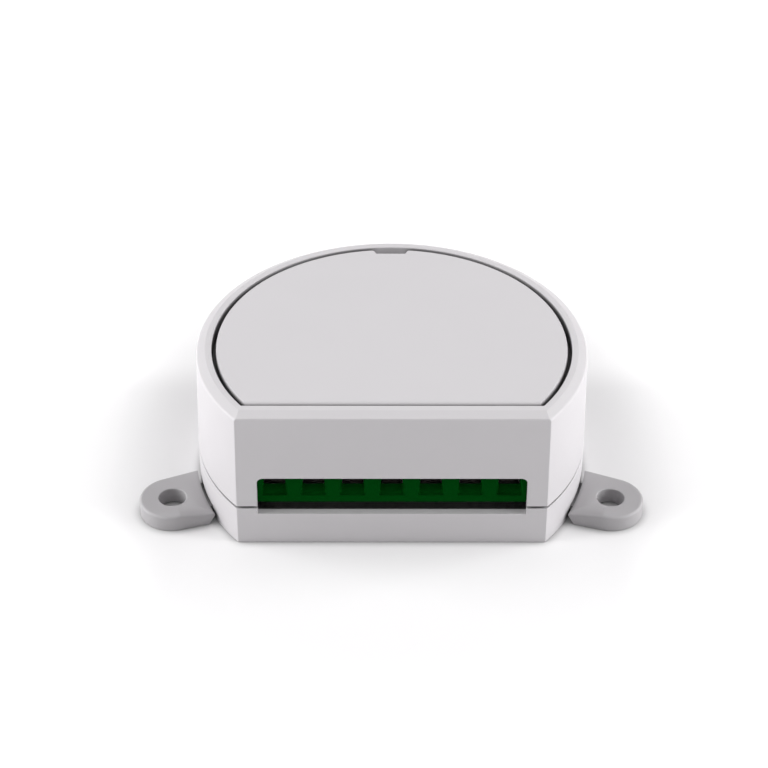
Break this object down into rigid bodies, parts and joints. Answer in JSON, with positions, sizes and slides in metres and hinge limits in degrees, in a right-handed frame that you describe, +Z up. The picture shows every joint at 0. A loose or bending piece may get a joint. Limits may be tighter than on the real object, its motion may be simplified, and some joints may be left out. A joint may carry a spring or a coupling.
{
  "type": "radio dimmer module",
  "caption": "Round flat-fronted dimmer module for a flush box, with an inset lift-off plate, plug-in mounting ears and screw terminals behind a front opening.",
  "frame": {"origin": "centre of the round wall, on the plane that the module stands on", "axes": "+X to the right ear, +Y to the round back, +Z up through the top plate"},
  "size_m": [0.0658, 0.0418, 0.02],
  "materials": {
    "housing_plastic": "fine moulded grain, satin",
    "ear_plastic": "fine moulded grain, satin",
    "terminal_green": "moulded, satin",
    "clamp_steel": "zinc plated",
    "screw_steel": "zinc plated",
    "tinned_brass": "tinned",
    "board_green": "solder mask",
    "shield_metal": "tinned",
    "black_plastic": "moulded",
    "button_white": "moulded",
    "led_body": "clear lens",
    "pipe_clear": "polished acrylic",
    "disc_blue": "dipped coating",
    "ferrite": "sintered",
    "copper_wire": "enamelled copper",
    "can_aluminium": "plain",
    "film_yellow": "moulded case"
  },
  "bodies": {
    "housing": {"antenna": "tinned_brass", "board_screws": "screw_steel", "bridge_rectifier": "black_plastic", "bulk_capacitor": "can_aluminium", "button_switch": "black_plastic", "choke_core": "ferrite", "choke_winding": "copper_wire", "film_capacitor": "film_yellow", "fuse": "black_plastic", "header_pins": "tinned_brass", "header_strip": "black_plastic", "heat_sink": "can_aluminium", "light_pipe": "pipe_clear", "lower_shell": "housing_plastic", "main_board": "board_green", "power_transistors": "black_plastic", "radio_board": "board_green", "radio_shield": "shield_metal", "status_led": "led_body", "terminal_body": "terminal_green", "terminal_pins": "tinned_brass", "upper_shell": "housing_plastic", "varistor": "disc_blue"},
    "plate": {"top_plate": "housing_plastic"},
    "left_ear": {"ear_left": "ear_plastic"},
    "right_ear": {"ear_right": "ear_plastic"},
    "button": {"program_button": "button_white"},
    "screw_1": {"terminal_screw_1": "screw_steel"},
    "clamp_1": {"terminal_clamp_1": "clamp_steel"},
    "screw_2": {"terminal_screw_2": "screw_steel"},
    "clamp_2": {"terminal_clamp_2": "clamp_steel"},
    "screw_3": {"terminal_screw_3": "screw_steel"},
    "clamp_3": {"terminal_clamp_3": "clamp_steel"},
    "screw_4": {"terminal_screw_4": "screw_steel"},
    "clamp_4": {"terminal_clamp_4": "clamp_steel"},
    "screw_5": {"terminal_screw_5": "screw_steel"},
    "clamp_5": {"terminal_clamp_5": "clamp_steel"},
    "screw_6": {"terminal_screw_6": "screw_steel"},
    "clamp_6": {"terminal_clamp_6": "clamp_steel"},
    "screw_7": {"terminal_screw_7": "screw_steel"},
    "clamp_7": {"terminal_clamp_7": "clamp_steel"}
  },
  "joints": [
    {"name": "plate_lift", "type": "slide", "parent": "housing", "child": "plate", "axis": [0, 0, 1], "range_m": [0, 0.004]},
    {"name": "left_ear_pull", "type": "slide", "parent": "housing", "child": "left_ear", "axis": [-0.9336, -0.3584, 0], "range_m": [0, 0.004]},
    {"name": "right_ear_pull", "type": "slide", "parent": "housing", "child": "right_ear", "axis": [0.9336, -0.3584, 0], "range_m": [0, 0.004]},
    {"name": "button_press", "type": "slide", "parent": "housing", "child": "button", "axis": [0, 0, -1], "range_m": [0, 0.00025], "stiffness_N_per_m": 5000},
    {"name": "screw_1_turn", "type": "hinge", "parent": "housing", "child": "screw_1", "pos_m": [-0.015, -0.01089, 0.0133], "axis": [0, 0, -1], "range_deg": [0, 1440]},
    {"name": "clamp_1_rise", "type": "slide", "parent": "housing", "child": "clamp_1", "axis": [0, 0, 1], "range_m": [0, 0.0018]},
    {"name": "screw_2_turn", "type": "hinge", "parent": "housing", "child": "screw_2", "pos_m": [-0.01, -0.01089, 0.0133], "axis": [0, 0, -1], "range_deg": [0, 1440]},
    {"name": "clamp_2_rise", "type": "slide", "parent": "housing", "child": "clamp_2", "axis": [0, 0, 1], "range_m": [0, 0.0018]},
    {"name": "screw_3_turn", "type": "hinge", "parent": "housing", "child": "screw_3", "pos_m": [-0.005, -0.01089, 0.0133], "axis": [0, 0, -1], "range_deg": [0, 1440]},
    {"name": "clamp_3_rise", "type": "slide", "parent": "housing", "child": "clamp_3", "axis": [0, 0, 1], "range_m": [0, 0.0018]},
    {"name": "screw_4_turn", "type": "hinge", "parent": "housing", "child": "screw_4", "pos_m": [0, -0.01089, 0.0133], "axis": [0, 0, -1], "range_deg": [0, 1440]},
    {"name": "clamp_4_rise", "type": "slide", "parent": "housing", "child": "clamp_4", "axis": [0, 0, 1], "range_m": [0, 0.0018]},
    {"name": "screw_5_turn", "type": "hinge", "parent": "housing", "child": "screw_5", "pos_m": [0.005, -0.01089, 0.0133], "axis": [0, 0, -1], "range_deg": [0, 1440]},
    {"name": "clamp_5_rise", "type": "slide", "parent": "housing", "child": "clamp_5", "axis": [0, 0, 1], "range_m": [0, 0.0018]},
    {"name": "screw_6_turn", "type": "hinge", "parent": "housing", "child": "screw_6", "pos_m": [0.01, -0.01089, 0.0133], "axis": [0, 0, -1], "range_deg": [0, 1440]},
    {"name": "clamp_6_rise", "type": "slide", "parent": "housing", "child": "clamp_6", "axis": [0, 0, 1], "range_m": [0, 0.0018]},
    {"name": "screw_7_turn", "type": "hinge", "parent": "housing", "child": "screw_7", "pos_m": [0.015, -0.01089, 0.0133], "axis": [0, 0, -1], "range_deg": [0, 1440]},
    {"name": "clamp_7_rise", "type": "slide", "parent": "housing", "child": "clamp_7", "axis": [0, 0, 1], "range_m": [0, 0.0018]}
  ],
  "couplings": [
    {"joint": "screw_1_turn", "follows": "clamp_1_rise", "rad_per_m": 13962},
    {"joint": "screw_2_turn", "follows": "clamp_2_rise", "rad_per_m": 13962},
    {"joint": "screw_3_turn", "follows": "clamp_3_rise", "rad_per_m": 13962},
    {"joint": "screw_4_turn", "follows": "clamp_4_rise", "rad_per_m": 13962},
    {"joint": "screw_5_turn", "follows": "clamp_5_rise", "rad_per_m": 13962},
    {"joint": "screw_6_turn", "follows": "clamp_6_rise", "rad_per_m": 13962},
    {"joint": "screw_7_turn", "follows": "clamp_7_rise", "rad_per_m": 13962}
  ]
}
